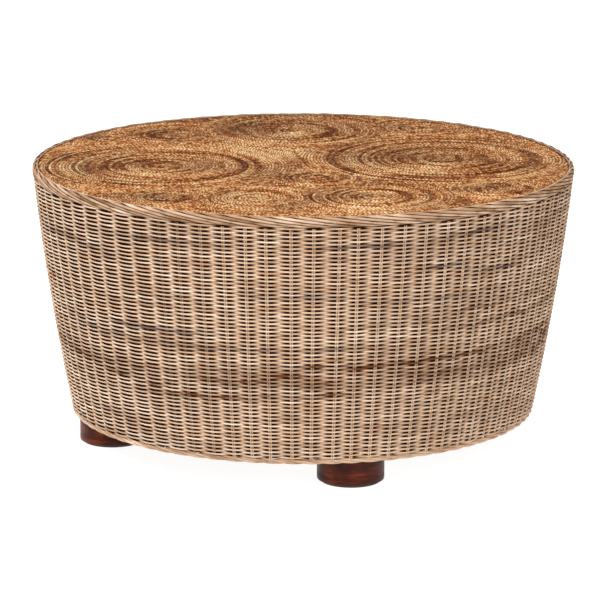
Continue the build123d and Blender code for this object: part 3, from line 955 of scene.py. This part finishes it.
def wicker_material(name, groove, groove_share, deep_start):
    """Split cane in beige and tan, streaked along each strand, with painted shade where it lies deep.
    Its flanks get painted shade from groove on, by groove_share, and all of it does at a depth from
    deep_start on."""
    shader = Shader(name, Specular_IOR_Level=0.04)
    along, around, strand = shader.split(shader.attribute("strand"))
    brown, grey, light = shader.split(shader.attribute("tint"))
    depth = shader.node("ShaderNodeAttribute", attribute_name="depth").outputs["Fac"]
    streak = shader.span(shader.noise(shader.join(along, strand, 0.0), 16.0, 2.0), 0.30, 0.70)
    short = shader.span(shader.noise(shader.join(along, strand, 3.0), 55.0, 2.0), 0.28, 0.72)
    lengthwise = shader.join(shader.times(along, 90.0), shader.times(around, 14.0), strand)
    fibre = shader.noise(lengthwise, 1.0, 3.0, 0.6)
    base = shader.ramp(
        shader.weigh((streak, 0.32), (short, 0.20), (light, 0.48)),
        (0.12, srgb(136, 102, 74)),
        (0.36, srgb(192, 158, 128)),
        (0.60, srgb(222, 192, 165)),
        (0.92, srgb(251, 231, 209)),
    )
    warm = shader.span(shader.noise(shader.join(along, strand, 9.0), 14.0, 1.0), 0.58, 0.72)
    base = shader.mix(shader.times(warm, 0.45), base, srgb(190, 132, 84))
    base = shader.mix(shader.times(grey, 0.85, True), base, srgb(104, 84, 76))
    spread = shader.times(brown, shader.plus(0.45, shader.times(short, 0.8)))
    base = shader.mix(shader.times(spread, 0.88, True), base, srgb(110, 66, 38))
    grooves = shader.ramp(fibre, (0.3, srgb(164, 150, 138)), (0.65, srgb(255, 255, 255)))
    base = shader.mix(0.40, base, grooves, "MULTIPLY")
    # Painted shade: the flanks that turn inward, and whole strands where they lie deep, darken through
    # warm brown to near black.
    turned = inward(shader, around)
    shade_share = shader.plus(groove_share, shader.times(depth, 0.9))
    edge = shader.times(shader.span(turned, groove - 0.16, groove + 0.12), 0.55)
    base = shader.mix(shader.times(edge, shade_share, True), base, srgb(140, 84, 44))
    flank_shade = shader.times(shader.span(turned, groove, groove + 0.26), shade_share, True)
    deep_shade = shader.span(depth, deep_start, deep_start + 0.30)
    dark = shader.times(shader.math("MAXIMUM", flank_shade, deep_shade), 0.98)
    base = shader.mix(dark, base, srgb(52, 19, 3))
    shader.colour(base)
    shader.grain(fibre, 0.48, 0.70, 0.25 * MM, 0.5)
    return shader.material


def rope_material():
    """Twisted seagrass: golden tan plies with painted shade in the crease between the plies and on the
    flanks where the ropes meet, brown and grey patches.
    """
    shader = Shader("seagrass_rope", Specular_IOR_Level=0.08)
    along, around, strand = shader.split(shader.attribute("strand"))
    brown, grey, light = shader.split(shader.attribute("tint"))
    turn = shader.math("SUBTRACT", around, shader.math("DIVIDE", along, LAY))
    wander = shader.noise(shader.join(along, strand, 7.0), 40.0, 1.0)
    loose = shader.plus(turn, shader.times(wander, 0.9))
    groove = shader.span(shader.math("COSINE", shader.times(loose, 2 * TAU)), 0.2, -0.8)
    dash = shader.span(shader.noise(shader.join(along, strand, 0.0), 130.0, 1.0), 0.32, 0.68)
    patch = shader.span(shader.noise(shader.join(along, strand, 5.0), 24.0, 2.0), 0.32, 0.68)
    spot = shader.span(shader.noise(shader.places(), 105.0, 1.0, 0.5), 0.36, 0.64)
    turned = inward(shader, around)
    gap_shade = shader.span(turned, 0.20, 0.46)
    twisted = shader.join(shader.times(turn, 26.0), shader.times(along, 60.0), strand)
    fibre = shader.noise(twisted, 1.0, 3.0, 0.6)
    base = shader.ramp(
        shader.weigh((dash, 0.25), (spot, 0.17), (patch, 0.06), (light, 0.46)),
        (0.28, srgb(96, 44, 14)),
        (0.43, srgb(174, 106, 56)),
        (0.56, srgb(232, 172, 114)),
        (0.74, srgb(255, 222, 170)),
    )
    speckle = shader.math("SUBTRACT", 1.0, dash)
    base = shader.mix(shader.times(grey, 0.8, True), base, srgb(88, 66, 48))
    dark = shader.times(brown, shader.plus(0.45, shader.times(speckle, 0.9)), True)
    base = shader.mix(dark, base, srgb(66, 28, 8))
    # Painted shade: the crease between the two plies and the flanks where the ropes meet darken to
    # near-black brown.
    base = shader.mix(shader.times(groove, 0.70), base, srgb(60, 24, 4))
    base = shader.mix(shader.times(gap_shade, 0.88), base, srgb(64, 27, 6))
    grooves = shader.ramp(fibre, (0.3, srgb(150, 140, 130)), (0.62, srgb(255, 255, 255)))
    base = shader.mix(0.4, base, grooves, "MULTIPLY")
    shader.colour(base)
    shader.grain(fibre, 0.55, 0.85, 0.5 * MM, 0.6)
    return shader.material


def foot_material():
    """Dark mahogany with a satin finish."""
    shader = Shader("mahogany", Specular_IOR_Level=0.15)
    spot = shader.places()
    grain = shader.noise(shader.stretched(spot, 1.0, 1.0, 7.0), 22.0, 4.0, 0.6)
    patch = shader.noise(spot, 26.0, 2.0)
    pore = shader.noise(shader.stretched(spot, 2.0, 2.0, 22.0), 60.0, 2.0)
    base = shader.ramp(
        shader.weigh((grain, 0.55), (patch, 0.45)),
        (0.36, srgb(30, 8, 2)),
        (0.50, srgb(66, 21, 5)),
        (0.64, srgb(112, 44, 11)),
    )
    base = shader.mix(shader.times(shader.span(pore, 0.55, 0.7), 0.35), base, srgb(40, 18, 12))
    shader.colour(base)
    shader.rough(grain, 0.30, 0.46)
    shader.bump(pore, 0.15 * MM, 0.25)
    return shader.material


def wood_material(name, dark, light, scale, grain_axis):
    """Plain sawn wood, with its grain along one axis."""
    shader = Shader(name, Specular_IOR_Level=0.3)
    stretch = [9.0, 9.0, 9.0]
    stretch[grain_axis] = 0.8
    grain = shader.noise(shader.stretched(shader.places(), *stretch), scale, 4.0, 0.6)
    fine = shader.noise(shader.stretched(shader.places(), *[4 * s for s in stretch]), scale, 2.0)
    tone = shader.weigh((grain, 0.7), (fine, 0.3))
    shader.colour(shader.ramp(tone, (0.36, dark), (0.64, light)))
    shader.rough(fine, 0.55, 0.75)
    shader.bump(grain, 0.3 * MM, 0.3)
    return shader.material


def steel_material():
    """Zinc-plated steel, faintly blotched."""
    shader = Shader("zinc_steel", Metallic=1.0)
    blotch = shader.noise(shader.places(), 420.0, 3.0)
    shader.colour(shader.ramp(blotch, (0.35, srgb(150, 150, 146)), (0.65, srgb(196, 196, 190))))
    shader.grain(blotch, 0.28, 0.48, 0.05 * MM, 0.2)
    return shader.material


def glide_material():
    """Dark moulded plastic."""
    shader = Shader("glide_plastic", Specular_IOR_Level=0.4)
    grain = shader.noise(shader.places(), 900.0, 2.0)
    shader.colour(shader.ramp(grain, (0.35, srgb(34, 28, 26)), (0.65, srgb(52, 44, 40))))
    shader.grain(grain, 0.45, 0.62, 0.1 * MM, 0.3)
    return shader.material


def dress_frame():
    """Materials for the CAD nodes that stay as they are."""
    pale, tan_wood = srgb(206, 172, 128), srgb(168, 128, 84)
    ply = wood_material("plywood", srgb(176, 138, 94), srgb(214, 182, 138), 6.0, 1)
    rail_x = wood_material("rail_wood_x", tan_wood, pale, 8.0, 0)
    rail_y = wood_material("rail_wood_y", tan_wood, pale, 8.0, 1)
    block = wood_material("block_wood", srgb(150, 112, 74), srgb(192, 154, 110), 9.0, 0)
    pole = wood_material("cane_pole", srgb(160, 118, 70), srgb(214, 178, 124), 14.0, 2)
    dowel = wood_material("dowel_wood", srgb(184, 148, 106), srgb(220, 190, 148), 18.0, 2)
    steel, glide = steel_material(), glide_material()
    choices = [
        ("top_panel", ply), ("top_rail_x", rail_x), ("bottom_rail_x", rail_x),
        ("top_rail_y", rail_y), ("bottom_rail_y", rail_y), ("foot_block", block),
        ("top_hoop", pole), ("middle_hoop", pole), ("bottom_hoop", pole), ("upright_screws", steel),
        ("middle_hoop_screws", steel), ("upright", pole), ("glide_screws", steel), ("glide", glide),
        ("lap_dowels", dowel), ("", steel),
    ]
    for name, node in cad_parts.items():
        if node.hide_render:
            continue
        material = next(m for start, m in choices if name.startswith(start))
        node.data.materials.clear()
        node.data.materials.append(material)


# --- Stage

def floor_material():
    """A light table: pale, and lit from within."""
    shader = Shader("studio_floor", Specular_IOR_Level=0.1, Roughness=0.9, Emission_Strength=0.94)
    soft = shader.noise(shader.places(), 0.6, 2.0)
    pale = shader.ramp(soft, (0.3, (0.96, 0.96, 0.96, 1)), (0.7, (1, 1, 1, 1)))
    shader.colour(shader.mix(0.7, pale, (0, 0, 0, 1)))
    shader.feed(shader.bsdf.inputs["Emission Color"], pale)
    return shader.material


def stage():
    """A pale floor that fills the view."""
    half = 20.0
    mesh = bpy.data.meshes.new("studio_floor")
    corners = [(-half, -half, 0), (half, -half, 0), (half, half, 0), (-half, half, 0)]
    mesh.from_pydata(corners, [], [(0, 1, 2, 3)])
    floor = bpy.data.objects.new("studio_floor", mesh)
    bpy.context.scene.collection.objects.link(floor)
    mesh.materials.append(floor_material())


def away(azimuth, elevation):
    """Direction from the table, in degrees: azimuth 0 is -Y and 90 is +X."""
    a, e = radians(azimuth), radians(elevation)
    return Vector((sin(a) * cos(e), -cos(a) * cos(e), sin(e)))


def sun(name, azimuth, elevation, strength, spread, colour):
    """Soft light from far off, which comes from a direction and is spread over some degrees."""
    data = bpy.data.lights.new(name, "SUN")
    data.energy = strength
    data.angle = radians(spread)
    data.color = colour
    light = bpy.data.objects.new(name, data)
    light.rotation_euler = away(azimuth, elevation).to_track_quat("Z", "Y").to_euler()
    bpy.context.scene.collection.objects.link(light)


def lights():
    """A high key light on the left, a low fill on the right and an even white world."""
    sun("key", CAMERA_AZIMUTH - 42, 56, 2.5, 24, (1.0, 0.985, 0.96))
    sun("fill", CAMERA_AZIMUTH + 34, 18, 0.6, 30, (1.0, 0.99, 0.97))
    world = bpy.data.worlds.new("studio")
    world.use_nodes = True
    sky = world.node_tree.nodes["Background"]
    sky.inputs[0].default_value = (1.0, 1.0, 1.0, 1.0)
    sky.inputs[1].default_value = 0.66
    bpy.context.scene.world = world


def camera():
    """The camera, rolled a little about its own axis."""
    data = bpy.data.cameras.new("camera")
    data.lens = CAMERA_LENS
    data.sensor_width = 36.0
    data.shift_x, data.shift_y = CAMERA_SHIFT
    data.clip_end = 100.0
    eye = bpy.data.objects.new("camera", data)
    back = away(CAMERA_AZIMUTH, CAMERA_ELEVATION)
    eye.location = Vector((0, 0, CAMERA_AIM)) + back * CAMERA_DISTANCE
    upright = back.to_track_quat("Z", "Y")
    eye.rotation_euler = (upright @ Quaternion((0, 0, 1), radians(CAMERA_ROLL))).to_euler()
    bpy.context.scene.collection.objects.link(eye)
    bpy.context.scene.camera = eye


# --- Everything

def main():
    wicker = wicker_material("wicker", 0.46, 0.90, 0.55)
    for first in range(0, ROWS, ROWS_PER_PIECE):
        name = f"weavers_{first // ROWS_PER_PIECE + 1}"
        weavers(name, first, min(first + ROWS_PER_PIECE, ROWS), wicker, ["side_weave"])
    weavers("top_weavers", ROWS, ROWS + TOP_ROWS, wicker, ["top_wale"])
    painted_shade_backing(wicker)
    stakes(wicker_material("cane_stake", 0.38, 0.85, 0.40))
    edging = wicker_material("border_wicker", 0.34, 0.45, 0.72)
    border_plait(edging)
    base_twining(edging)
    rope = rope_material()
    coil_pieces(rope)
    infill_pieces(rope)
    rope_bed(rope)
    mahogany = foot_material()
    for side in ("front", "right", "back", "left"):
        turned_foot(side, mahogany)
    dress_frame()
    stage()
    lights()
    camera()
    bpy.context.scene.view_settings.view_transform = "Standard"


main()
